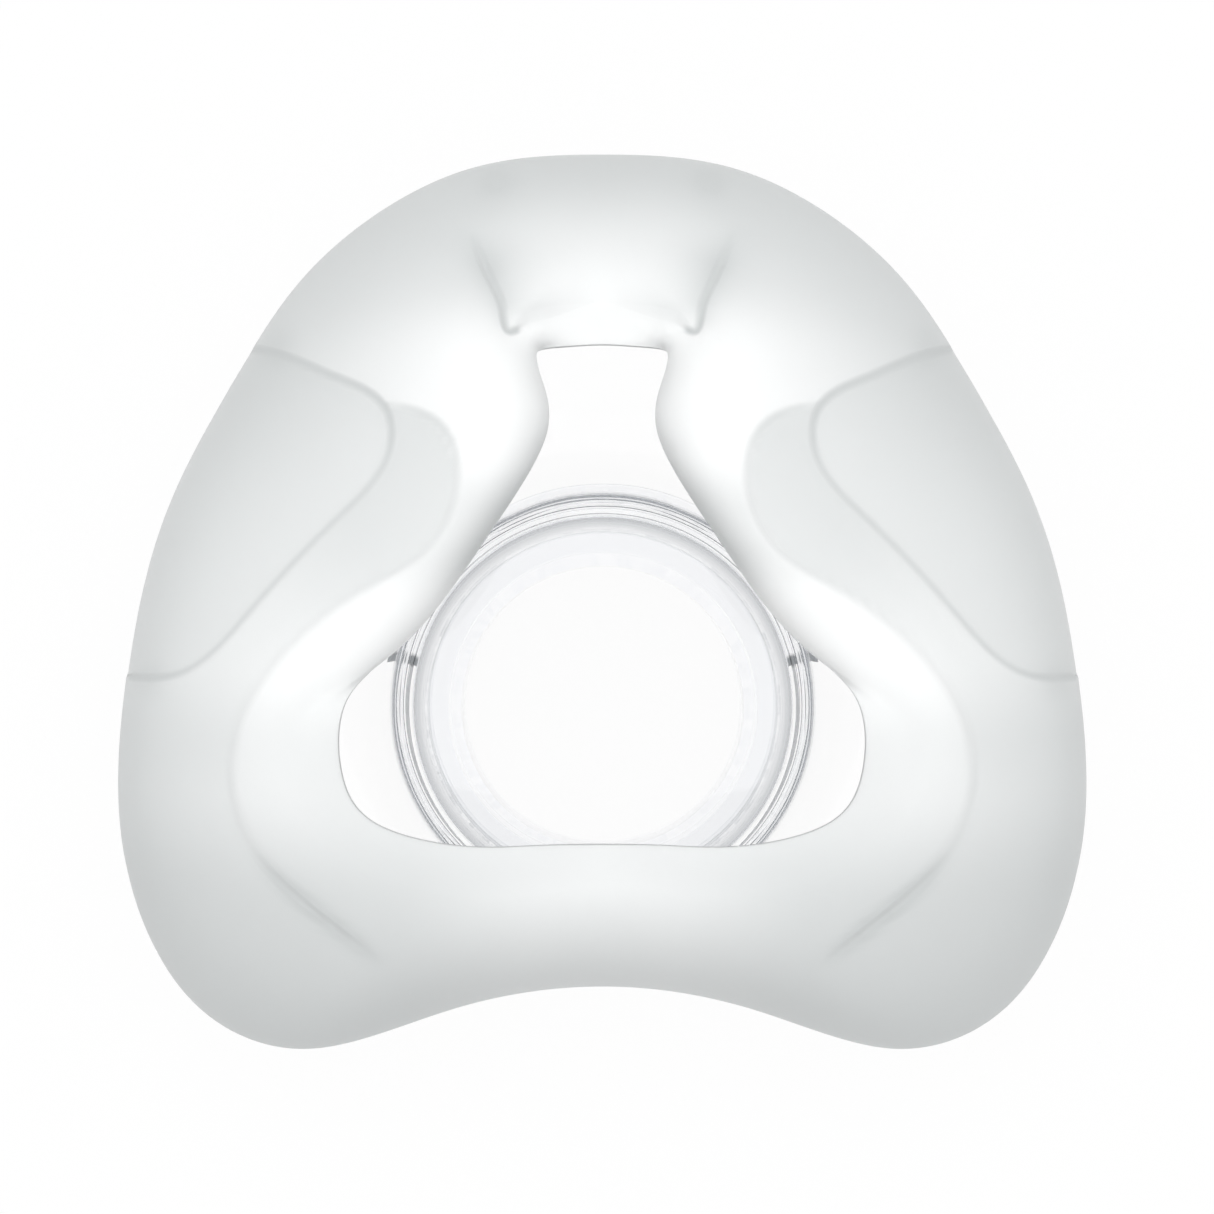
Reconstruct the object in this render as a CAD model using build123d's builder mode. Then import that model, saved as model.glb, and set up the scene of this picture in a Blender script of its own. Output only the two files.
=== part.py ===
from build123d import *
import os

# Seal module of a nasal breathing mask: a clear silicone cushion moulded round a clear port ring.
# Units are millimetres. The port axis is Z, the ring's front face stands on z = 0, +Z runs towards
# the wearer's face, +Y towards the bridge of the nose and +X to the right as the wearer is looked at.

os.makedirs("parts", exist_ok=True)

# Connector ring: U-shaped section, open to the front
bore_radius = 13.0
tube_wall = 1.3
channel_width = 1.9
skirt_wall = 1.3
ring_height = 9.0
web_thickness = 1.3
shoulder_radius = 1.1
bore_lead_in = 0.4

# Retaining rib on the skirt, foot flange, and the half flange that keys the cushion in its frame
rib_overhang = 0.6
rib_width = 1.2
rib_level = 4.6
foot_overhang = 1.45
foot_thickness = 2.2
key_overhang = 1.45
key_thickness = 1.2
key_cut_level = 3.9

# Silicone bead that grips the skirt, and the thin wall's root inside it
seat_clearance = 0.15
bead_wall = 1.6
bead_top_gap = 1.35
bead_lead_in = 0.8
root_inset = 0.2
root_depth = 1.9

# Girth, the widest line of the cushion, in plan
half_width = 40.9
bridge_reach = 48.8
lip_reach = 29.3

# Nose opening in plan
opening_half_width = 20.9
opening_top = 30.9
opening_bottom = 10.3

# Heights of the girth and of the crest that meets the face, at the nose bridge, the cheek and the upper lip
girth_level_bridge = 20.0
girth_level_cheek = 24.0
girth_level_lip = 22.0
crest_level_bridge = 35.6
crest_level_cheek = 45.0
crest_level_lip = 38.3
bridge_valley_depth = 0.9

# Wall thickness, which thins evenly from the bead to the free edge of the membrane
wall_at_bead = 1.2
wall_at_edge = 0.6

# Roll of the membrane at the nose opening: beside the nose it turns down and back under itself,
# under the nostrils it ends in a nearly flat land
roll_drop = 5.0
tuck_depth = 4.5
tuck_back = 2.0
land_width = 2.0
land_drop = 0.3
edge_drop = 0.4

# Neck above the bead
neck_rise = 0.6
neck_flare = 0.9

# Stations from the nose bridge round one side to the upper lip, as shares of the plan sizes above
girth_plan = (
    (0.0, 1.0),
    (0.312, 0.968),
    (0.593, 0.817),
    (0.762, 0.620),
    (0.900, 0.375),
    (0.971, 0.136),
    (1.0, -0.162),
    (0.985, -0.524),
    (0.867, -0.861),
    (0.624, -1.0),
    (0.318, -0.882),
    (0.0, -0.817),
)
opening_plan = (
    (0.0, 1.0),
    (0.172, 0.987),
    (0.225, 0.923),
    (0.220, 0.761),
    (0.435, 0.5),
    (0.727, 0.210),
    (0.970, 0.060),
    (1.0, -0.388),
    (0.871, -0.806),
    (0.550, -0.990),
    (0.263, -1.0),
    (0.0, -1.0),
)

# Where the crest lies on the way from girth to opening, and how far the edge is tucked under
crest_share = (0.80, 0.79, 0.75, 0.76, 0.80, 0.74, 0.70, 0.77, 0.84, 0.80, 0.72, 0.72)
tuck_share = (0.05, 0.12, 0.85, 1.0, 1.0, 0.68, 0.08, 0.0, 0.0, 0.0, 0.0, 0.0)
valley_station = 1

# Shoulder between girth and crest: at two shares of the way in plan, the share of the height reached
shoulder_lower_way = 0.18
shoulder_lower_rise = (0.52, 0.50, 0.49, 0.55, 0.67, 0.68, 0.66, 0.55, 0.44, 0.44, 0.50, 0.54)
shoulder_upper_way = 0.52
shoulder_upper_rise = (0.86, 0.83, 0.81, 0.84, 0.87, 0.88, 0.87, 0.83, 0.79, 0.80, 0.84, 0.86)

# Form of the wall between its other named lines: (share of the way in plan, share of the way in height).
# The membrane and the roll belong to a tucked edge, the land to an edge that isn't tucked
bowl_lower = (0.42, 0.30)
bowl_upper = (0.84, 0.60)
membrane_middle = (0.58, 0.10)
roll_upper = (0.89, 0.44)
land_middle = (0.55, 0.50)
land_last = (0.89, 0.88)

# Strips that the wall is made of, between each two named points from the bead to the free edge
segment_strips = (1, 3, 2, 2, 3, 3, 3, 2, 2, 1, 2)

# Sizes that follow
skirt_inner_radius = bore_radius + tube_wall + channel_width
skirt_radius = skirt_inner_radius + skirt_wall
foot_radius = skirt_radius + foot_overhang
key_radius = foot_radius + key_overhang
bead_inner_radius = skirt_radius + seat_clearance
bead_radius = bead_inner_radius + bead_wall
bead_base = foot_thickness + seat_clearance
bead_top = ring_height - bead_top_gap
station_count = len(girth_plan)
half_steps = station_count - 1
strip_count = sum(segment_strips)
row_shares = [row / strip_count for row in range(strip_count + 1)]


def plan_point(shares, reach_x, reach_up, reach_down):
    """A station's plan point from its shares of the three reaches."""
    share_x, share_y = shares
    reach_y = reach_up if share_y > 0 else reach_down
    return Vector(share_x * reach_x, share_y * reach_y)


def level_at(girth_point, bridge, cheek, upper_lip):
    """Height that runs smoothly from the bridge over the cheek to the upper lip."""
    end = bridge if girth_point.Y > 0 else upper_lip
    steepness = (girth_point.Y / girth_point.length) ** 2
    return cheek + (end - cheek) * steepness


def between(start, end, share):
    """Point between two points, with its own share in plan and in height."""
    share_plan, share_height = share
    plan = start + (end - start) * share_plan
    return Vector(plan.X, plan.Y, start.Z + (end.Z - start.Z) * share_height)


def blend(first, second, share):
    """Pair of shares on the way from one pair to another."""
    return tuple(a + (b - a) * share for a, b in zip(first, second))


def outer_section(station):
    """Named points of the wall's outer face at one station, from the bead up to the free edge."""
    girth = plan_point(girth_plan[station], half_width, bridge_reach, lip_reach)
    opening = plan_point(opening_plan[station], opening_half_width, opening_top, opening_bottom)
    radial = girth.normalized()
    tuck = tuck_share[station]
    girth_level = level_at(girth, girth_level_bridge, girth_level_cheek, girth_level_lip)
    crest_level = level_at(girth, crest_level_bridge, crest_level_cheek, crest_level_lip)
    if station == valley_station:
        crest_level -= bridge_valley_depth

    root = radial * (bead_radius - root_inset) + Vector(0, 0, bead_top - root_depth)
    neck = radial * (bead_radius + neck_flare) + Vector(0, 0, bead_top + neck_rise)
    girth_line = girth + Vector(0, 0, girth_level)
    crest = girth + (opening - girth) * crest_share[station] + Vector(0, 0, crest_level)

    outward = (girth - opening).normalized()
    land = outward * (land_width * (1 - tuck))
    roll = opening + land + Vector(0, 0, crest_level - land_drop - (roll_drop - land_drop) * tuck)
    back = outward * (tuck_back * tuck)
    edge = opening + back + Vector(0, 0, roll.Z - edge_drop - tuck_depth * tuck)
    return [
        root,
        neck,
        between(root, girth_line, bowl_lower),
        between(root, girth_line, bowl_upper),
        girth_line,
        between(girth_line, crest, (shoulder_lower_way, shoulder_lower_rise[station])),
        between(girth_line, crest, (shoulder_upper_way, shoulder_upper_rise[station])),
        crest,
        between(crest, roll, blend(land_middle, membrane_middle, tuck)),
        between(crest, roll, blend(land_last, roll_upper, tuck)),
        roll,
        edge,
    ]


def rows_of(section):
    """Points at the rows and directions there, on a smooth curve through a section's named points."""
    lengths = [0.0]
    for start, end in zip(section, section[1:]):
        lengths.append(lengths[-1] + (end - start).length)
    places = [length / lengths[-1] for length in lengths]
    curve = Edge.make_spline(section, parameters=places)
    row_places = []
    for strips, start, end in zip(segment_strips, places, places[1:]):
        row_places += [start + (end - start) * step / strips for step in range(strips)]
    row_places.append(1.0)
    points = [curve.position_at(place, position_mode=PositionMode.PARAMETER) for place in row_places]
    ahead = [curve.tangent_at(place, position_mode=PositionMode.PARAMETER) for place in row_places]
    return points, ahead


def rail(points):
    """Spline from the bridge to the upper lip that crosses the mirror plane squarely at both ends."""
    # Its speed there is the central difference over two points on each side of the plane
    speed_at_bridge = (8 * points[1].X - points[2].X) / 6 * half_steps
    speed_at_lip = (8 * points[-2].X - points[-3].X) / 6 * half_steps
    return Edge.make_spline(
        points,
        tangents=[(speed_at_bridge, 0, 0), (-speed_at_lip, 0, 0)],
        parameters=[station / half_steps for station in range(station_count)],
        scale=False,
    )


def rails_of(sections):
    """One rail for each row of the sections."""
    return [rail([section[row] for section in sections]) for row in range(len(row_shares))]


def inner_section(station):
    """Inner face of the wall, one wall thickness inside each point of the outer face at a station."""
    points = []
    for share, point, ahead, outer_rail in zip(row_shares, *outer_sections[station], outer_rails):
        around = outer_rail.tangent_at(station / half_steps, position_mode=PositionMode.PARAMETER)
        outward = ahead.cross(around).normalized()
        thickness = wall_at_bead + (wall_at_edge - wall_at_bead) * share
        inset = point - outward * thickness
        points.append(Vector(0, inset.Y, inset.Z) if point.X == 0 else inset)
    return points


def strips(rails):
    """Faces that run straight from each rail to the next."""
    return Shell.make_loft([Wire([edge]) for edge in rails], ruled=True).faces()


# Connector ring
with BuildPart() as connector_ring:
    with BuildSketch(Plane.XZ) as ring_section:
        with BuildLine():
            Polyline(
                (bore_radius, 0),
                (bore_radius + tube_wall, 0),
                (bore_radius + tube_wall, ring_height - web_thickness),
                (skirt_inner_radius, ring_height - web_thickness),
                (skirt_inner_radius, 0),
                (foot_radius, 0),
                (foot_radius, foot_thickness),
                (skirt_radius, foot_thickness),
                (skirt_radius, ring_height),
                (bore_radius, ring_height),
                close=True,
            )
        make_face()
        corners = ring_section.vertices().group_by(Axis.Y)[-1].sort_by(Axis.X)
        fillet(corners[-1], shoulder_radius)
        chamfer(corners[0], bore_lead_in)
        with Locations((skirt_radius - skirt_wall / 2, rib_level - rib_width / 2)):
            Rectangle(skirt_wall / 2 + rib_overhang, rib_width, align=Align.MIN)
    revolve(axis=Axis.Z)

    with BuildSketch(Plane.XY):
        Circle(key_radius)
        Circle(foot_radius - foot_overhang / 2, mode=Mode.SUBTRACT)
        with Locations((0, key_cut_level)):
            Rectangle(2 * key_radius, 2 * key_radius, align=(Align.CENTER, Align.MAX), mode=Mode.SUBTRACT)
    extrude(amount=key_thickness)

connector_ring.part.label = "connector_ring"
export_step(connector_ring.part, "parts/connector_ring.step")

# Silicone cushion: a thin wall between two skins, fused with the bead that grips the ring. The skins are
# straight from row to row, which keeps the solid light, and their left half mirrors the right one
outer_sections = [rows_of(outer_section(station)) for station in range(station_count)]
outer_rails = rails_of([points for points, _ in outer_sections])
inner_rails = rails_of([inner_section(station) for station in range(station_count)])

right_half = [
    *strips(outer_rails),
    *strips(inner_rails),
    *strips([outer_rails[0], inner_rails[0]]),
    *strips([outer_rails[-1], inner_rails[-1]]),
]
left_half = [face.mirror(Plane.YZ) for face in right_half]
wall = Solid(Shell(right_half + left_half))

with BuildPart() as silicone_cushion:
    add(wall)
    with BuildSketch(Plane.XZ) as bead_section:
        with Locations((bead_inner_radius, bead_base)):
            Rectangle(bead_wall, bead_top - bead_base, align=Align.MIN)
        chamfer(bead_section.vertices().group_by(Axis.Y)[-1].sort_by(Axis.X)[0], bead_lead_in)
        with Locations((bead_inner_radius, rib_level - rib_width / 2 - seat_clearance)):
            Rectangle(rib_overhang, rib_width + 2 * seat_clearance, align=Align.MIN, mode=Mode.SUBTRACT)
    revolve(axis=Axis.Z)

silicone_cushion.part.label = "silicone_cushion"
export_step(silicone_cushion.part, "parts/silicone_cushion.step")
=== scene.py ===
import math

import bpy
import numpy as np
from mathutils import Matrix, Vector


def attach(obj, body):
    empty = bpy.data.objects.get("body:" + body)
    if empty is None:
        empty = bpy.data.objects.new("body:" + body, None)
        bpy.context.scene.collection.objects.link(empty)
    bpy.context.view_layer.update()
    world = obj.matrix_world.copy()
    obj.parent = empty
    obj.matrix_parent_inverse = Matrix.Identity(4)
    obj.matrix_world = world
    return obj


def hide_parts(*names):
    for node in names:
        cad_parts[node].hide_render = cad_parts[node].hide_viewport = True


# Seal module of a nasal breathing mask, looked at from the wearer's side: a moulded silicone
# cushion on its clear port ring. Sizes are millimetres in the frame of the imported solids.

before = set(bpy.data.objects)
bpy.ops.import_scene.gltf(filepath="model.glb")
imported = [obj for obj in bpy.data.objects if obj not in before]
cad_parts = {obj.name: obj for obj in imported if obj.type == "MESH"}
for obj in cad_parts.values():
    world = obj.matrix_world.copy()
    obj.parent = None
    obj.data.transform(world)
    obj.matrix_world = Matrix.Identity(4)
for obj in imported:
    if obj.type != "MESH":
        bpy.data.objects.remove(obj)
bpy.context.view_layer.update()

MM = 0.001
UP = np.array([0.0, 0.0, 1.0])

# Port ring's skirt, with the start of the painted grey band of shade over it, and the half flange
# with the painted shade at its cut ends
SKIRT_RADIUS = 17.5
BAND_START = 15.8
RIB_OVERHANG = 0.6
RIB_LEVEL = 4.6
RIB_WIDTH = 1.2
FLANGE_CUT = 3.9
CUT_SHADE = 0.8
SKIRT_BLUR = 0.1
FLANGE_BLUR = 0.3
UPRIGHT_RANGE = (0.8, 0.3)

# Bead that grips the skirt, and the foot of the wall on it. The solid's source sets the root
# 0.2 mm inside the bead, to fuse them. Here the skin runs on from one to the other.
SEAT_CLEARANCE = 0.15
BEAD_WALL = 1.6
BEAD_BASE = 2.35
BEAD_TOP = 7.65
BEAD_LEAD_IN = 0.8
BEAD_CORNER = 0.15
ROOT_INSET = 0.02
ROOT_DEPTH = 1.9
NECK_RISE = 0.6
NECK_FLARE = 0.9

# Plan of the girth and of the nose opening
HALF_WIDTH = 40.9
BRIDGE_REACH = 48.8
LIP_REACH = 29.3
OPENING_HALF_WIDTH = 20.9
OPENING_TOP = 30.9
OPENING_BOTTOM = 10.3

# Heights at the nose bridge, the cheek and the upper lip
GIRTH_LEVELS = (20.0, 24.0, 22.0)
CREST_LEVELS = (35.6, 45.0, 38.3)
BRIDGE_VALLEY_DEPTH = 0.9

# Wall thickness, which thins evenly from the bead to the free edge of the membrane
WALL_AT_BEAD = 1.2
WALL_AT_EDGE = 0.6

# Roll of the membrane at the nose opening
ROLL_DROP = 5.0
TUCK_DEPTH = 4.5
TUCK_BACK = 2.0
LAND_WIDTH = 2.0
LAND_DROP = 0.3
EDGE_DROP = 0.4

# Stations from the nose bridge round one side to the upper lip, as shares of the plan sizes
GIRTH_PLAN = (
    (0.0, 1.0), (0.312, 0.968), (0.593, 0.817), (0.762, 0.620), (0.900, 0.375), (0.971, 0.136),
    (1.0, -0.162), (0.985, -0.524), (0.867, -0.861), (0.624, -1.0), (0.318, -0.882), (0.0, -0.817),
)
OPENING_PLAN = (
    (0.0, 1.0), (0.172, 0.987), (0.225, 0.923), (0.220, 0.761), (0.435, 0.5), (0.727, 0.210),
    (0.970, 0.060), (1.0, -0.388), (0.871, -0.806), (0.550, -0.990), (0.263, -1.0), (0.0, -1.0),
)
CREST_SHARE = (0.80, 0.79, 0.75, 0.76, 0.80, 0.74, 0.70, 0.77, 0.84, 0.80, 0.72, 0.72)
TUCK_SHARE = (0.05, 0.12, 0.85, 1.0, 1.0, 0.68, 0.08, 0.0, 0.0, 0.0, 0.0, 0.0)
VALLEY_STATION = 1
GIRTH_LINE = 4
CREST_LINE = 7

# Form of the wall between its named lines: share of the way in plan, share of the way in height.
# The two pairs of the land are spaced wider than in the solid's source, where the rows crowd at
# the roll beside the bridge.
BOWL_LOWER = (0.42, 0.30)
BOWL_UPPER = (0.84, 0.60)
SHOULDER_LOWER_WAY = 0.18
SHOULDER_LOWER_RISE = (0.52, 0.50, 0.49, 0.55, 0.67, 0.68, 0.66, 0.55, 0.44, 0.44, 0.50, 0.54)
SHOULDER_UPPER_WAY = 0.52
SHOULDER_UPPER_RISE = (0.86, 0.83, 0.81, 0.84, 0.87, 0.88, 0.87, 0.83, 0.79, 0.80, 0.84, 0.86)
MEMBRANE_MIDDLE = (0.58, 0.10)
ROLL_UPPER = (0.89, 0.44)
LAND_MIDDLE = (0.40, 0.36)
LAND_LAST = (0.70, 0.67)

# Moulded lines of the membrane, in plan on one side: the crease between bridge and cheek, the
# groove round the cheek panel, and the line where the membrane turns down towards the girth.
# The line ends each carry a soft spot of painted shade where they run out.
BRIDGE_CREASE = ((11.3, 41.2), (10.2, 38.9), (9.1, 36.6), (8.0, 34.2), (7.2, 32.4), (6.0, 32.6))
PANEL_GROOVE = (
    (30.5, 31.6), (26.3, 30.2), (22.1, 28.3), (17.7, 25.4), (17.4, 22.0), (21.3, 16.7),
    (28.7, 8.8), (34.4, 3.9), (39.5, 3.4),
)
TURN_LINE = (
    (17.4, 25.8), (13.4, 24.3), (11.8, 21.3), (12.0, 17.6), (13.4, 14.6), (18.4, 11.0),
    (24.6, 6.5), (29.1, 0.0), (28.9, -9.0), (23.0, -15.9), (17.0, -21.0),
)
LINE_ENDS = ((9.2, 45.7), (27.5, 31.6), (37.5, 3.2))
LINE_SAMPLES = 400
LINE_FAR = 50.0

# Relief at the lines: a soft furrow at the crease, a ledge at each of the others, narrow grooves
# made by bump and darkened with painted shade
CREASE_DROP = 1.0
CREASE_REACH = 2.6
PANEL_DROP = 0.35
PANEL_WIDTH = 0.45
PANEL_REACH = 8.0
TURN_DROP = 0.5
TURN_WIDTH = 0.4
TURN_REACH = 6.0
GROOVE_WIDTH = 0.27
GROOVE_DEPTH = 0.1

# Painted shade, how far the rubber's colour is greyed at the places that are darker to the eye:
# where the wall slopes away from the light at the ends, lobes and lip, and where shade falls at
# the crease, the line ends, the band, the panel, the lobe's corner and the roll
BRIDGE_SHADE = 0.8
RIM_SHADE = 0.3
BRIDGE_LOBE_DELAY = 0.25
LINE_END_SHADE = 0.35
LINE_END_REACH = 1.5
CREASE_SHADE = 0.75
BAND_SHADE = 0.6
BAND_DIP = 0.6
PANEL_SHADE = 0.4
CORNER_SHADE = 0.5
CORNER_WIDTH = 0.8
LOBE_SHADE = 0.45
LIP_SHADE = 0.35
ROLL_SHADE = 0.8

# Strength of the narrow grooves, of their bump and their painted shade, where it isn't full
PANEL_GROOVE_DIP = 0.35
TURN_GROOVE_START = 0.5
TURN_GROOVE_CORNER = 0.8

# Fades, each the start and end of a smooth ramp: across a line and in plan, in millimetres
ACROSS_LINE = (-0.5, 0.5)
PANEL_OVER_TURN = (-1.5, 0.0)
FROM_TURN_START = (0.0, 3.0)
RING_FROM = (9.0, 14.0)
RING_SIDE_TO = (17.0, 22.0)
RING_EDGE_TO = (22.0, 26.0)
BRIDGE_FROM = (31.5, 35.0)
BRIDGE_TO = (38.0, 42.0)
BRIDGE_LOBE_OUT = (4.0, 14.0)
BRIDGE_LOBE_UP = (29.0, 37.0)
LOBE_OUT = (4.0, 18.0)
LOBE_DOWN = (5.0, 15.0)
LIP_DOWN = (-5.0, 2.0)

# Fades along a line, as shares of its length
CREASE_START = (0.0, 0.3)
CREASE_END = (0.95, 1.0)
BAND_DIP_FROM = (0.3, 0.5)
BAND_END = (0.6, 0.8)
CORNER_FROM = (0.74, 0.84)
CORNER_TO = (0.9, 0.99)
TURN_END = (0.9, 1.0)
PANEL_DIP_FROM = (0.3, 0.45)
PANEL_DIP_TO = (0.85, 0.95)
TURN_GROOVE_FROM = (0.0, 0.02)
TURN_GROOVE_TO = (0.06, 0.16)

# Fades up the wall, where 0 is the girth, 1 is the crest and more is past it
PANEL_START = (0.0, 0.3)
PANEL_GROOVE_FROM = (0.0, 0.1)
ROLL_AT_CREST = (0.7, 1.0)
ROLL_AT_EDGE = (1.3, 1.9)
SATIN_RANGE = (-0.4, 0.1)
# The painted shade at the girth fades out over this range
GIRTH_SHADE_FADE = (0.2, 1.1)

# Fineness of the cushion mesh
AROUND = 560
SEGMENT_ROWS = (2, 5, 6, 4, 9, 12, 14, 14, 10, 6, 10)
INNER_STEP = 3
EDGE_ROUNDING = 3
LEAD_IN_ROWS = 6
ROWS = np.concatenate([
    index + np.arange(count) / count for index, count in enumerate(SEGMENT_ROWS)
] + [[len(SEGMENT_ROWS)]])
GIRTH_ROW = sum(SEGMENT_ROWS[:GIRTH_LINE])
FROM_GIRTH = (ROWS - GIRTH_LINE) / (CREST_LINE - GIRTH_LINE)

# Both materials are given a lower index of refraction than the real ones, 1.41 and 1.585, which
# showed dark noisy bands that the evenly lit part doesn't have
CLEAR_IOR = 1.2

# How much of the table's white is its own glow, which the part's shadow doesn't darken
TABLE_GLOW = 0.95


def closed_spline(points, count):
    """Smooth closed curve through evenly spaced points, sampled at count places."""
    number = len(points)
    matrix = 4 * np.eye(number) + np.roll(np.eye(number), 1, 1) + np.roll(np.eye(number), -1, 1)
    turns = 6 * (np.roll(points, 1, 0) - 2 * points + np.roll(points, -1, 0))
    bends = np.linalg.solve(matrix, turns)
    place = np.arange(count) * number / count
    low = np.floor(place).astype(int)
    high = (low + 1) % number
    rise = (place - low)[:, None]
    fall = 1 - rise
    return (
        fall * points[low] + rise * points[high]
        + ((fall ** 3 - fall) * bends[low] + (rise ** 3 - rise) * bends[high]) / 6
    )


def chord_lengths(points):
    """Length passed at each point along straight steps from the first."""
    steps = np.linalg.norm(np.diff(points, axis=0), axis=1)
    return np.concatenate([[0.0], np.cumsum(steps)])


def open_spline(points, knots, places):
    """Smooth open curve through the points at their knots, sampled at places along it."""
    number = len(knots)
    gap = np.diff(knots)
    matrix = np.zeros((number, number))
    right = np.zeros(points.shape)
    matrix[0, 0] = 1
    matrix[-1, -1] = 1
    for row in range(1, number - 1):
        matrix[row, row - 1] = gap[row - 1]
        matrix[row, row] = 2 * (gap[row - 1] + gap[row])
        matrix[row, row + 1] = gap[row]
        before, after = np.diff(points[row - 1:row + 2], axis=0)
        right[row] = 6 * (after / gap[row] - before / gap[row - 1])
    bends = np.linalg.solve(matrix, right)
    low = np.clip(np.searchsorted(knots, places, side="right") - 1, 0, number - 2)
    rise = ((places - knots[low]) / gap[low])[:, None]
    fall = 1 - rise
    scale = (gap[low] ** 2 / 6)[:, None]
    return (
        fall * points[low] + rise * points[low + 1]
        + ((fall ** 3 - fall) * bends[low] + (rise ** 3 - rise) * bends[low + 1]) * scale
    )


def plan_point(shares, reach_x, reach_up, reach_down):
    """A station's plan point from its shares of the three reaches."""
    reach_y = reach_up if shares[1] > 0 else reach_down
    return np.array([shares[0] * reach_x, shares[1] * reach_y, 0.0])


def level_at(girth, levels):
    """Height that runs smoothly from the bridge over the cheek to the upper lip."""
    bridge, cheek, upper_lip = levels
    end = bridge if girth[1] > 0 else upper_lip
    return cheek + (end - cheek) * (girth[1] / np.linalg.norm(girth)) ** 2


def between(start, end, share):
    """Point between two points, with its own share in plan and in height."""
    return start + (end - start) * np.array([share[0], share[0], share[1]])


def blend(first, second, share):
    """Pair of shares on the way from one pair to another."""
    return tuple(a + (b - a) * share for a, b in zip(first, second))


def outer_section(station):
    """Named points of the wall's outer face at one station, from the bead up to the free edge."""
    girth = plan_point(GIRTH_PLAN[station], HALF_WIDTH, BRIDGE_REACH, LIP_REACH)
    opening = plan_point(OPENING_PLAN[station], OPENING_HALF_WIDTH, OPENING_TOP, OPENING_BOTTOM)
    radial = girth / np.linalg.norm(girth)
    tuck = TUCK_SHARE[station]
    crest_level = level_at(girth, CREST_LEVELS)
    if station == VALLEY_STATION:
        crest_level -= BRIDGE_VALLEY_DEPTH
    bead_radius = SKIRT_RADIUS + SEAT_CLEARANCE + BEAD_WALL
    root = radial * (bead_radius - ROOT_INSET) + UP * (BEAD_TOP - ROOT_DEPTH)
    neck = radial * (bead_radius + NECK_FLARE) + UP * (BEAD_TOP + NECK_RISE)
    girth_line = girth + UP * level_at(girth, GIRTH_LEVELS)
    crest = girth + (opening - girth) * CREST_SHARE[station] + UP * crest_level
    outward = (girth - opening) / np.linalg.norm(girth - opening)
    roll_level = crest_level - LAND_DROP - (ROLL_DROP - LAND_DROP) * tuck
    edge_level = roll_level - EDGE_DROP - TUCK_DEPTH * tuck
    roll = opening + outward * LAND_WIDTH * (1 - tuck) + UP * roll_level
    edge = opening + outward * TUCK_BACK * tuck + UP * edge_level
    return np.array([
        root,
        neck,
        between(root, girth_line, BOWL_LOWER),
        between(root, girth_line, BOWL_UPPER),
        girth_line,
        between(girth_line, crest, (SHOULDER_LOWER_WAY, SHOULDER_LOWER_RISE[station])),
        between(girth_line, crest, (SHOULDER_UPPER_WAY, SHOULDER_UPPER_RISE[station])),
        crest,
        between(crest, roll, blend(LAND_MIDDLE, MEMBRANE_MIDDLE, tuck)),
        between(crest, roll, blend(LAND_LAST, ROLL_UPPER, tuck)),
        roll,
        edge,
    ])


def station_rows(section):
    """Points of one station's section, on a smooth curve through its named points."""
    knots = chord_lengths(section)
    return open_spline(section, knots, np.interp(ROWS, np.arange(len(section)), knots))


def outer_skin():
    """Outer face of the wall as a grid, and each row's share of the way from bead to free edge."""
    half = [station_rows(outer_section(station)) for station in range(len(GIRTH_PLAN))]
    flip = np.array([-1.0, 1.0, 1.0])
    stations = np.array(half + [points * flip for points in half[-2:0:-1]])
    rails = np.array([closed_spline(stations[:, row], AROUND) for row in range(len(ROWS))])
    steps = np.linalg.norm(np.diff(rails, axis=0), axis=2).mean(axis=1)
    lengths = np.concatenate([[0.0], np.cumsum(steps)])
    return rails.transpose(1, 0, 2), lengths / lengths[-1]


def face_normals(grid):
    """Unit normals of the outer face, out of the wall, from a grid that closes round."""
    around = np.roll(grid, -1, 0) - np.roll(grid, 1, 0)
    normal = np.cross(np.gradient(grid, axis=1), around)
    return normal / np.linalg.norm(normal, axis=2, keepdims=True)


def beside(plan, points):
    """Distance in plan to a smooth line through points, positive on its outer side, and the share
    of the line passed."""
    points = np.array(points)
    knots = chord_lengths(points)
    line = open_spline(points, knots, np.linspace(0, knots[-1], LINE_SAMPLES))
    nearest = ((plan[:, None] - line[None]) ** 2).sum(axis=2).argmin(axis=1)
    ahead = np.gradient(line, axis=0)[nearest]
    ahead /= np.linalg.norm(ahead, axis=1, keepdims=True)
    apart = plan - line[nearest]
    across = apart[:, 1] * ahead[:, 0] - apart[:, 0] * ahead[:, 1]
    share = nearest / (LINE_SAMPLES - 1)
    at_end = (nearest == 0) | (nearest == LINE_SAMPLES - 1)
    return np.where(at_end, np.sign(across) * np.linalg.norm(apart, axis=1), across), share


def ramp(value, start, end):
    """Smooth rise from 0 at start to 1 at end."""
    share = np.clip((value - start) / (end - start), 0, 1)
    return share * share * (3 - 2 * share)


def stretch(value, rise, fall):
    """Smooth rise from 0 to 1 over the first range, and back to 0 over the second."""
    return ramp(value, *rise) * (1 - ramp(value, *fall))


def ledge(distance, drop, width, reach):
    """Depth of a soft step down on the outer side of a line, which levels out over its reach."""
    return -drop * ramp(distance, -width, width) * np.exp(-np.clip(distance, 0, None) / reach)


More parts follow.
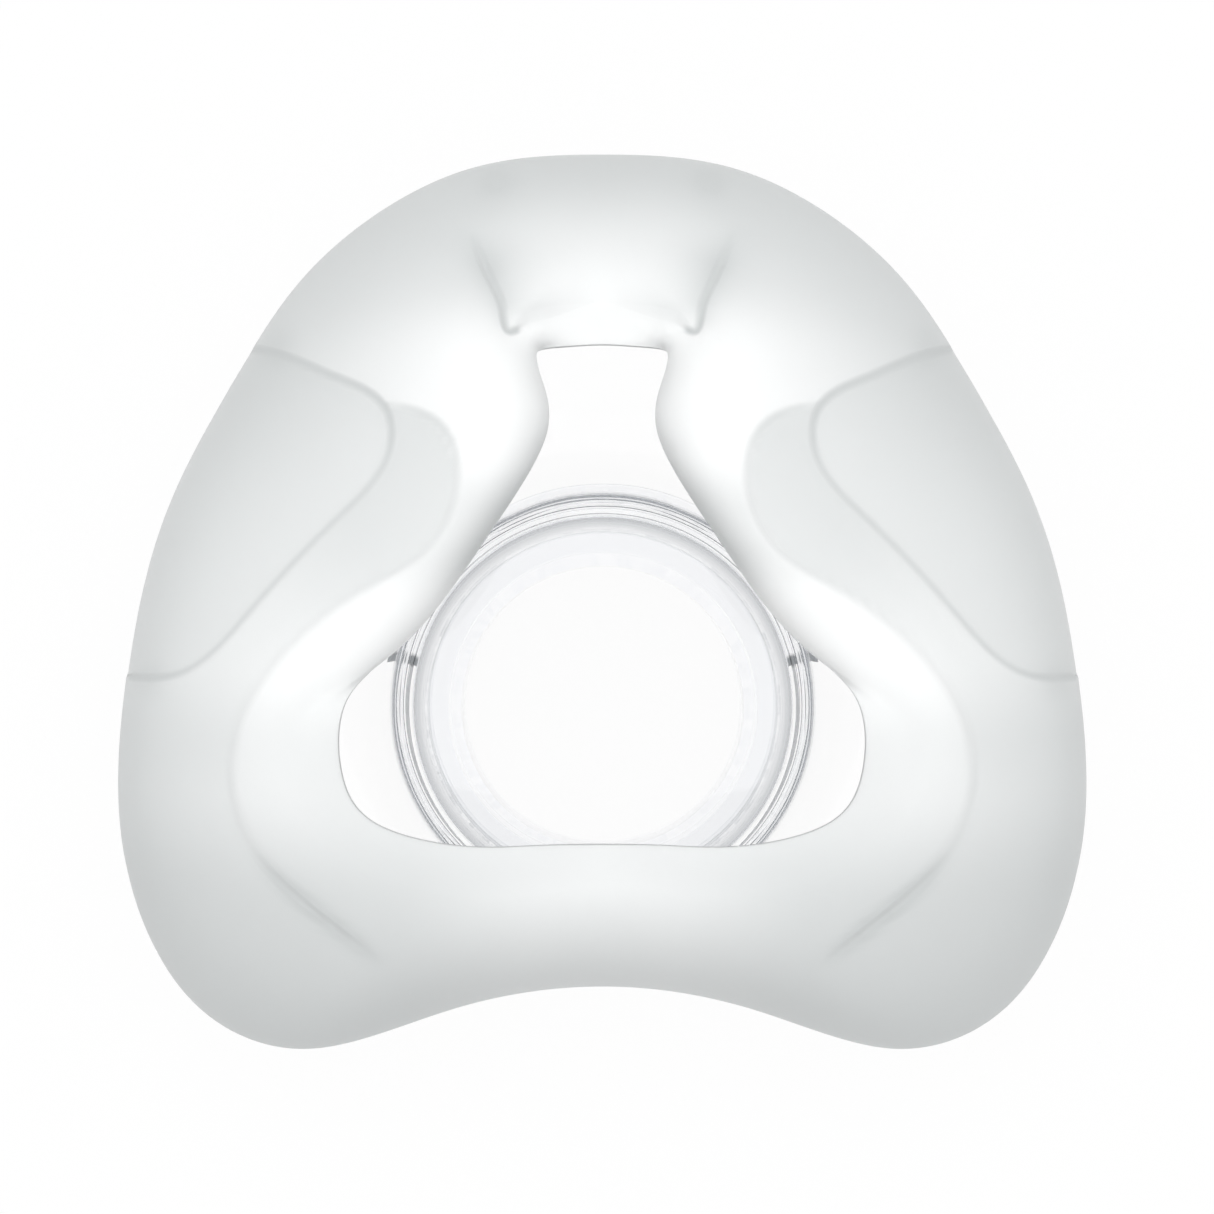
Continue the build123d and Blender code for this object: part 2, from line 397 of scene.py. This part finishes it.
def membrane_fields(outer):
    """Values at each point of the outer face: relief, the height of the moulded lines over the
    plain wall, painted shade, and for each line the distance to it and how strong its groove is."""
    facing = np.column_stack([
        np.abs(outer[:, GIRTH_ROW:, 0]).ravel(), outer[:, GIRTH_ROW:, 1].ravel(),
    ])
    x, y = facing.T
    from_girth = np.tile(FROM_GIRTH[GIRTH_ROW:], len(outer))
    crease, crease_share = beside(facing, BRIDGE_CREASE)
    panel, panel_share = beside(facing, PANEL_GROOVE)
    turn, turn_share = beside(facing, TURN_LINE)

    crease_start = ramp(crease_share, *CREASE_START)
    panel_start = ramp(from_girth, *PANEL_START)
    from_turn_start = np.linalg.norm(facing - np.array(TURN_LINE[0]), axis=1)
    turn_ends = ramp(from_turn_start, *FROM_TURN_START) * (1 - ramp(turn_share, *TURN_END))
    relief = (
        -CREASE_DROP * np.exp(-np.abs(crease) / CREASE_REACH) * crease_start
        + ledge(panel, PANEL_DROP, PANEL_WIDTH, PANEL_REACH) * panel_start
        + ledge(turn, TURN_DROP, TURN_WIDTH, TURN_REACH) * turn_ends
        * (1 - ramp(panel, *PANEL_OVER_TURN))
    )

    in_band = ramp(turn, *ACROSS_LINE)
    in_panel = ramp(panel, *ACROSS_LINE)
    lobe_corner = stretch(turn_share, CORNER_FROM, CORNER_TO)
    towards_ends = (y / np.linalg.norm(facing, axis=1)) ** 2
    on_bridge_lobe = BRIDGE_LOBE_DELAY * ramp(x, *BRIDGE_LOBE_OUT) * ramp(y, *BRIDGE_LOBE_UP)
    ends = np.where(y > 0, BRIDGE_SHADE, RIM_SHADE) * towards_ends
    from_line_end = np.linalg.norm(facing[:, None] - np.array(LINE_ENDS)[None], axis=2).min(axis=1)
    from_crease = np.maximum(2 * crease, -crease) / CREASE_REACH
    band = in_band * (1 - in_panel) * (1 - BAND_DIP * ramp(turn_share, *BAND_DIP_FROM))
    ring_side = stretch(y, RING_FROM, RING_SIDE_TO) * (1 - in_band)
    ring_edge = stretch(y, RING_FROM, RING_EDGE_TO) * (1 - in_band)
    side_roll = ring_side * ramp(from_girth, *ROLL_AT_CREST)
    edge_roll = ring_edge * ramp(from_girth, *ROLL_AT_EDGE)
    # Painted shade, summed from each place where the rubber's colour is greyed
    painted_shade = (
        ends * (1 - ramp(from_girth - on_bridge_lobe, *GIRTH_SHADE_FADE))
        + LINE_END_SHADE * np.exp(-(from_line_end / LINE_END_REACH) ** 2)
        + CREASE_SHADE * np.exp(-from_crease) * stretch(y, BRIDGE_FROM, BRIDGE_TO)
        + BAND_SHADE * band * (1 - ramp(turn_share, *BAND_END))
        + PANEL_SHADE * in_panel * panel_start
        + CORNER_SHADE * np.exp(-(turn / CORNER_WIDTH) ** 2) * lobe_corner
        + LOBE_SHADE * ramp(-y, *LOBE_DOWN) * ramp(x, *LOBE_OUT)
        + LIP_SHADE * ramp(-y, *LIP_DOWN)
        + ROLL_SHADE * (side_roll + edge_roll) / 2
    )

    panel_dip = PANEL_GROOVE_DIP * stretch(panel_share, PANEL_DIP_FROM, PANEL_DIP_TO)
    turn_groove_start = stretch(turn_share, TURN_GROOVE_FROM, TURN_GROOVE_TO)
    fields = {
        "relief": relief,
        "painted_shade": painted_shade,
        "crease_distance": crease,
        "crease_strength": crease_start * (1 - ramp(crease_share, *CREASE_END)),
        "panel_distance": panel,
        "panel_strength": ramp(from_girth, *PANEL_GROOVE_FROM) * (1 - panel_dip),
        "turn_distance": turn,
        "turn_strength": TURN_GROOVE_START * turn_groove_start + TURN_GROOVE_CORNER * lobe_corner,
    }
    full = {}
    for name, values in fields.items():
        full[name] = np.full(outer.shape[:2], LINE_FAR if name.endswith("distance") else 0.0)
        full[name][:, GIRTH_ROW:] = values.reshape(len(outer), -1)
    return full


def free_edge(outer_rim, inner_rim, normal_rim):
    """Rows that round the free edge over from the outer to the inner face."""
    middle = (outer_rim + inner_rim) / 2
    half = (outer_rim - inner_rim) / 2
    ahead = np.cross(np.roll(outer_rim, -1, 0) - np.roll(outer_rim, 1, 0), normal_rim)
    ahead /= np.linalg.norm(ahead, axis=1, keepdims=True)
    ahead *= -np.linalg.norm(half, axis=1, keepdims=True)
    angles = np.linspace(0, math.pi, EDGE_ROUNDING + 2)[1:-1]
    return np.stack([middle + half * math.cos(a) + ahead * math.sin(a) for a in angles], axis=1)


def bead_rows(outer):
    """Rows of the bead, from the inner face's foot round the ring's seat to the outer face's."""
    inner_radius = SKIRT_RADIUS + SEAT_CLEARANCE
    outer_radius = inner_radius + BEAD_WALL
    groove_radius = SKIRT_RADIUS + RIB_OVERHANG + SEAT_CLEARANCE
    groove_low = RIB_LEVEL - RIB_WIDTH / 2 - SEAT_CLEARANCE
    groove_high = RIB_LEVEL + RIB_WIDTH / 2 + SEAT_CLEARANCE
    corner = BEAD_CORNER
    lead_in = [
        (
            inner_radius + BEAD_LEAD_IN * (1 - math.sin(angle)),
            BEAD_TOP - BEAD_LEAD_IN * (1 - math.cos(angle)),
        )
        for angle in np.linspace(0, math.pi / 2, LEAD_IN_ROWS)
    ]
    profile = lead_in + [
        (inner_radius, groove_high + corner),
        (inner_radius + corner, groove_high),
        (groove_radius - corner, groove_high),
        (groove_radius, groove_high - corner),
        (groove_radius, groove_low + corner),
        (groove_radius - corner, groove_low),
        (inner_radius + corner, groove_low),
        (inner_radius, groove_low - corner),
        (inner_radius, BEAD_BASE + corner),
        (inner_radius + corner, BEAD_BASE),
        (outer_radius - corner, BEAD_BASE),
        (outer_radius, BEAD_BASE + corner),
        (outer_radius, BEAD_TOP - ROOT_DEPTH - corner),
    ]
    foot = outer[:, 0, :2]
    radial = foot / np.linalg.norm(foot, axis=1, keepdims=True)
    return np.stack([
        np.column_stack([radial * radius, np.full(len(radial), level)])
        for radius, level in profile
    ], axis=1)


def closed_grid(name, grid):
    """Mesh from a grid of points that closes round both of its axes."""
    around, along = grid.shape[:2]
    index = np.arange(around * along).reshape(around, along)
    next_around = np.roll(index, -1, 0)
    quads = np.stack([
        index, np.roll(index, -1, 1), np.roll(next_around, -1, 1), next_around,
    ], axis=-1).reshape(-1, 4)
    mesh = bpy.data.meshes.new(name)
    mesh.from_pydata((grid.reshape(-1, 3) * MM).tolist(), [], quads.tolist())
    mesh.validate()
    mesh.shade_smooth()
    piece = bpy.data.objects.new(name, mesh)
    bpy.context.scene.collection.objects.link(piece)
    return piece


def make_cushion():
    """The silicone cushion as one closed skin, with the values that its material reads."""
    outer, shares = outer_skin()
    normal = face_normals(outer)
    fields = membrane_fields(outer)
    outer = outer + normal * fields.pop("relief")[:, :, None]
    wall = WALL_AT_BEAD + (WALL_AT_EDGE - WALL_AT_BEAD) * shares
    inner = outer - normal * wall[None, :, None]
    edge = free_edge(outer[:, -1], inner[:, -1], normal[:, -1])
    bead = bead_rows(outer)
    over_bead = (inner[:, :, 2] > BEAD_TOP + BEAD_CORNER).all(axis=0)
    inside = np.arange(np.argmax(over_bead), len(ROWS))[::-1][::INNER_STEP]
    grid = np.concatenate([outer, edge, inner[:, inside], bead], axis=1)
    piece = closed_grid("silicone_cushion_skin", grid)
    fields = {"from_girth": np.tile(FROM_GIRTH, (AROUND, 1)), **fields}
    for name, values in fields.items():
        # The rounded edge and the bead are clear and without lines, as the foot of the wall is
        plain_edge = np.full(edge.shape[:2], values[0, 0])
        plain_bead = np.full(bead.shape[:2], values[0, 0])
        values = np.concatenate([values, plain_edge, values[:, inside], plain_bead], axis=1)
        attribute = piece.data.attributes.new(name, "FLOAT", "POINT")
        attribute.data.foreach_set("value", values.ravel())
    return piece


def linear(hex_colour):
    """Linear RGBA from an sRGB hex colour."""
    parts = [int(hex_colour[start:start + 2], 16) / 255 for start in (0, 2, 4)]
    return [c / 12.92 if c <= 0.04045 else ((c + 0.055) / 1.055) ** 2.4 for c in parts] + [1.0]


def add_node(tree, kind, settings=None, links=None):
    """A node with its settings (properties or input values) and its links (input to output)."""
    node = tree.nodes.new(kind)
    for name, value in (settings or {}).items():
        if isinstance(name, str) and hasattr(node, name):
            setattr(node, name, value)
        else:
            node.inputs[name].default_value = value
    for name, socket in (links or {}).items():
        tree.links.new(socket, node.inputs[name])
    return node


def new_material(name):
    """Empty node material with its node tree and output node."""
    material = bpy.data.materials.new(name)
    material.use_nodes = True
    material.node_tree.nodes.clear()
    output = material.node_tree.nodes.new("ShaderNodeOutputMaterial")
    return material, material.node_tree, output


def groove_share(tree, line):
    """How deep in a moulded line's narrow groove a point is: 1 at its bottom, 0 beside it."""
    distance = add_node(tree, "ShaderNodeAttribute", {"attribute_name": line + "_distance"})
    strength = add_node(tree, "ShaderNodeAttribute", {"attribute_name": line + "_strength"})
    apart = add_node(tree, "ShaderNodeMath", {"operation": "ABSOLUTE"},
                     {0: distance.outputs["Fac"]})
    near = add_node(tree, "ShaderNodeMapRange", {
        "interpolation_type": "SMOOTHSTEP", "From Min": 2 * GROOVE_WIDTH, "From Max": 0.0,
    }, {"Value": apart.outputs[0]})
    share = add_node(tree, "ShaderNodeMath", {"operation": "MULTIPLY"},
                     {0: near.outputs["Result"], 1: strength.outputs["Fac"]})
    return share.outputs[0]


def moulded_silicone():
    """Liquid silicone rubber, injection moulded. The face side is taken to come from a blasted
    tool, which leaves it milky and satin, so it hides what lies behind. Below the girth the tool
    is taken to be polished, and the rubber is water clear. Its colour carries painted shade:
    greyer towards the girth, at the places the mesh's attribute gives, and in the narrow grooves."""
    material, tree, output = new_material("silicone_moulded")
    place = add_node(tree, "ShaderNodeAttribute", {"attribute_name": "from_girth"})
    from_girth = place.outputs["Fac"]
    satin = add_node(tree, "ShaderNodeMapRange", {
        "interpolation_type": "SMOOTHSTEP", "From Min": SATIN_RANGE[0], "From Max": SATIN_RANGE[1],
    }, {"Value": from_girth}).outputs["Result"]
    past_girth_shade = add_node(tree, "ShaderNodeMapRange", {
        "interpolation_type": "SMOOTHSTEP", "From Min": GIRTH_SHADE_FADE[0], "From Max": GIRTH_SHADE_FADE[1],
    }, {"Value": from_girth}).outputs["Result"]
    roughness = add_node(tree, "ShaderNodeMapRange", {"To Min": 0.05, "To Max": 0.40},
                         {"Value": satin})
    clearness = add_node(tree, "ShaderNodeMapRange", {"To Min": 1.0, "To Max": 0.2},
                         {"Value": satin})
    # Painted shade: the colour is greyer at the girth, where the wall slopes away from the light,
    # and clears towards the crest
    girth_shaded = add_node(tree, "ShaderNodeMix", {
        "data_type": "RGBA", 6: linear("E8EAEA"), 7: linear("FCFDFD"),
    }, {0: past_girth_shade})
    # Painted shade from the mesh's attribute greys the colour
    painted_shade = add_node(tree, "ShaderNodeAttribute", {"attribute_name": "painted_shade"})
    with_painted_shade = add_node(tree, "ShaderNodeMix", {"data_type": "RGBA", 7: linear("D6D9D9")},
                     {0: painted_shade.outputs["Fac"], 6: girth_shaded.outputs[2]})
    crease, panel, turn = [groove_share(tree, line) for line in ("crease", "panel", "turn")]
    either = add_node(tree, "ShaderNodeMath", {"operation": "MAXIMUM"}, {0: crease, 1: panel})
    groove = add_node(tree, "ShaderNodeMath", {"operation": "MAXIMUM"},
                      {0: either.outputs[0], 1: turn})
    # Painted shade in the narrow grooves: the colour greys towards their bottom
    groove_shaded = add_node(tree, "ShaderNodeMix", {"data_type": "RGBA", 7: linear("D4D7D7")},
                       {0: groove.outputs[0], 6: with_painted_shade.outputs[2]})
    depth = add_node(tree, "ShaderNodeBump", {"Distance": GROOVE_DEPTH * MM, "invert": True},
                     {"Height": groove.outputs[0]})
    tint = add_node(tree, "ShaderNodeMix", {"data_type": "RGBA", 6: linear("FFFFFF")},
                    {0: satin, 7: groove_shaded.outputs[2]})
    shader = add_node(tree, "ShaderNodeBsdfPrincipled", {"IOR": CLEAR_IOR}, {
        "Base Color": tint.outputs[2],
        "Roughness": roughness.outputs["Result"],
        "Transmission Weight": clearness.outputs["Result"],
        "Normal": depth.outputs["Normal"],
    })
    tree.links.new(shader.outputs["BSDF"], output.inputs["Surface"])
    return material


def clear_polycarbonate():
    """Polycarbonate, injection moulded in a polished tool: clear and glossy. Its upright sides
    outside the skirt are taken to keep the tool's grain, rough and less clear, and carry painted
    shade that greys them, seen as thin grey lines. A soft grey band of painted shade lies over the
    skirt, and the half flange's cut ends carry dark grey painted shade."""
    material, tree, output = new_material("polycarbonate_clear_moulded")
    past_rib = SKIRT_RADIUS + RIB_OVERHANG
    coordinates = add_node(tree, "ShaderNodeTexCoord")
    level_place = add_node(tree, "ShaderNodeVectorMath",
                           {"operation": "MULTIPLY", 1: (1.0, 1.0, 0.0)},
                           {0: coordinates.outputs["Object"]})
    radius = add_node(tree, "ShaderNodeVectorMath", {"operation": "LENGTH"},
                      {0: level_place.outputs[0]}).outputs["Value"]
    outside = add_node(tree, "ShaderNodeMapRange", {
        "From Min": (SKIRT_RADIUS - SKIRT_BLUR) * MM, "From Max": SKIRT_RADIUS * MM,
    }, {"Value": radius}).outputs["Result"]
    on_skirt = add_node(tree, "ShaderNodeMapRange", {
        "interpolation_type": "SMOOTHSTEP",
        "From Min": BAND_START * MM, "From Max": SKIRT_RADIUS * MM,
    }, {"Value": radius}).outputs["Result"]
    facing = add_node(tree, "ShaderNodeSeparateXYZ", {}, {"Vector": coordinates.outputs["Normal"]})
    flatness = add_node(tree, "ShaderNodeMath", {"operation": "ABSOLUTE"},
                        {0: facing.outputs["Z"]})
    upright = add_node(tree, "ShaderNodeMapRange", {
        "From Min": UPRIGHT_RANGE[0], "From Max": UPRIGHT_RANGE[1],
    }, {"Value": flatness.outputs[0]})
    grain_and_shade = add_node(tree, "ShaderNodeMath", {"operation": "MULTIPLY"},
                     {0: outside, 1: upright.outputs["Result"]}).outputs[0]
    # Painted shade: a soft grey band over the skirt
    band = add_node(tree, "ShaderNodeMath", {"operation": "SUBTRACT", "use_clamp": True},
                    {0: on_skirt, 1: outside})
    band_shaded = add_node(tree, "ShaderNodeMix", {
        "data_type": "RGBA", 6: linear("F8F9FB"), 7: linear("A8ABAF"),
    }, {0: band.outputs[0]})
    # Painted shade greys the upright sides that keep the tool's grain
    tint = add_node(tree, "ShaderNodeMix", {"data_type": "RGBA", 7: linear("B4B8BC")},
                    {0: grain_and_shade, 6: band_shaded.outputs[2]})
    place = add_node(tree, "ShaderNodeSeparateXYZ", {}, {"Vector": coordinates.outputs["Object"]})
    # Painted shade: dark grey at the half flange's cut ends
    over_cut = add_node(tree, "ShaderNodeMath",
                        {"operation": "SUBTRACT", 1: (FLANGE_CUT + CUT_SHADE / 2) * MM},
                        {0: place.outputs["Y"]})
    from_cut = add_node(tree, "ShaderNodeMath", {"operation": "ABSOLUTE"},
                        {0: over_cut.outputs[0]})
    at_cut = add_node(tree, "ShaderNodeMapRange", {
        "interpolation_type": "SMOOTHSTEP",
        "From Min": CUT_SHADE * MM, "From Max": CUT_SHADE / 3 * MM,
    }, {"Value": from_cut.outputs[0]})
    on_flange = add_node(tree, "ShaderNodeMapRange", {
        "From Min": past_rib * MM, "From Max": (past_rib + FLANGE_BLUR) * MM,
    }, {"Value": radius})
    cut_end = add_node(tree, "ShaderNodeMath", {"operation": "MULTIPLY"},
                       {0: on_flange.outputs["Result"], 1: at_cut.outputs["Result"]})
    shaded = add_node(tree, "ShaderNodeMix", {"data_type": "RGBA", 7: linear("5E6266")},
                      {0: cut_end.outputs[0], 6: tint.outputs[2]})
    roughness = add_node(tree, "ShaderNodeMapRange", {"To Min": 0.03, "To Max": 0.5},
                         {"Value": grain_and_shade})
    clearness = add_node(tree, "ShaderNodeMapRange", {"To Min": 0.95, "To Max": 0.6},
                         {"Value": grain_and_shade})
    shader = add_node(tree, "ShaderNodeBsdfPrincipled", {"IOR": CLEAR_IOR}, {
        "Base Color": shaded.outputs[2],
        "Roughness": roughness.outputs["Result"],
        "Transmission Weight": clearness.outputs["Result"],
    })
    tree.links.new(shader.outputs["BSDF"], output.inputs["Surface"])
    return material


def seen_directly(tree):
    """Socket that is 1 for what is seen straight, by gloss or through clear walls, else 0."""
    rays = add_node(tree, "ShaderNodeLightPath").outputs
    straight = add_node(tree, "ShaderNodeMath", {"operation": "MAXIMUM"},
                        {0: rays["Is Camera Ray"], 1: rays["Is Transmission Ray"]})
    either = add_node(tree, "ShaderNodeMath", {"operation": "MAXIMUM"},
                      {0: straight.outputs[0], 1: rays["Is Glossy Ray"]})
    return either.outputs[0]


def white_table():
    """Laminate, pressed to a matt white face: seen straight or through clear walls it is white,
    with a small part of the shadow kept."""
    material, tree, output = new_material("laminate_matt_white")
    glow_share = add_node(tree, "ShaderNodeMath", {"operation": "MULTIPLY", 1: TABLE_GLOW},
                          {0: seen_directly(tree)})
    matt = add_node(tree, "ShaderNodeBsdfDiffuse", {"Color": linear("F0F0F0")})
    glow = add_node(tree, "ShaderNodeEmission", {"Color": linear("FFFFFF"), "Strength": 1.0})
    mixed = add_node(tree, "ShaderNodeMixShader", {},
                     {0: glow_share.outputs[0], 1: matt.outputs[0], 2: glow.outputs[0]})
    tree.links.new(mixed.outputs[0], output.inputs["Surface"])
    return material


# Camera: straight above the nose opening, with its scale right at one height
IMAGE_WIDTH = 1214
SENSOR_WIDTH = 36.0
CAMERA_PLACE = (0.4, 9.2, 280.0)
PIXELS_PER_MM = 11.77
SCALE_HEIGHT = 30.0
camera_data = bpy.data.cameras.new("camera")
camera_data.sensor_width = SENSOR_WIDTH
camera_data.lens = PIXELS_PER_MM * (CAMERA_PLACE[2] - SCALE_HEIGHT) / IMAGE_WIDTH * SENSOR_WIDTH
camera = bpy.data.objects.new("camera", camera_data)
camera.location = Vector(CAMERA_PLACE) * MM
bpy.context.scene.collection.objects.link(camera)
bpy.context.scene.camera = camera

# Cushion
cushion = make_cushion()
cushion.data.materials.append(moulded_silicone())
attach(cushion, "root")
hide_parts("silicone_cushion")

# Ring
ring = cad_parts["connector_ring"]
ring.data.materials.clear()
ring.data.materials.append(clear_polycarbonate())

# Table, 3 m wide so that its edge is never seen
TABLE_WIDTH = 3000.0
bpy.ops.mesh.primitive_plane_add(size=TABLE_WIDTH * MM, location=(0, 0, 0))
table = bpy.context.object
table.name = "table"
table.data.materials.append(white_table())

# Lights: a white room, and a soft overhead lamp a little towards the nose bridge
ROOM_LEVEL = 0.80
LAMP_PLACE = (0.0, 120.0, 600.0)
LAMP_WIDTH = 500.0
LAMP_POWER = 1.57
room = bpy.data.worlds.new("white_room")
bpy.context.scene.world = room
room.use_nodes = True
level = add_node(room.node_tree, "ShaderNodeMapRange", {"To Min": ROOM_LEVEL, "To Max": 1.0},
                 {"Value": seen_directly(room.node_tree)})
background = room.node_tree.nodes["Background"]
background.inputs["Color"].default_value = linear("FFFFFF")
room.node_tree.links.new(level.outputs["Result"], background.inputs["Strength"])

lamp_data = bpy.data.lights.new("overhead_lamp", "AREA")
lamp_data.shape = "DISK"
lamp_data.size = LAMP_WIDTH * MM
lamp_data.energy = LAMP_POWER
lamp = bpy.data.objects.new("overhead_lamp", lamp_data)
lamp.location = Vector(LAMP_PLACE) * MM
lamp.rotation_euler = (-lamp.location).to_track_quat("-Z", "Y").to_euler()
bpy.context.scene.collection.objects.link(lamp)

bpy.context.scene.view_settings.view_transform = "Standard"
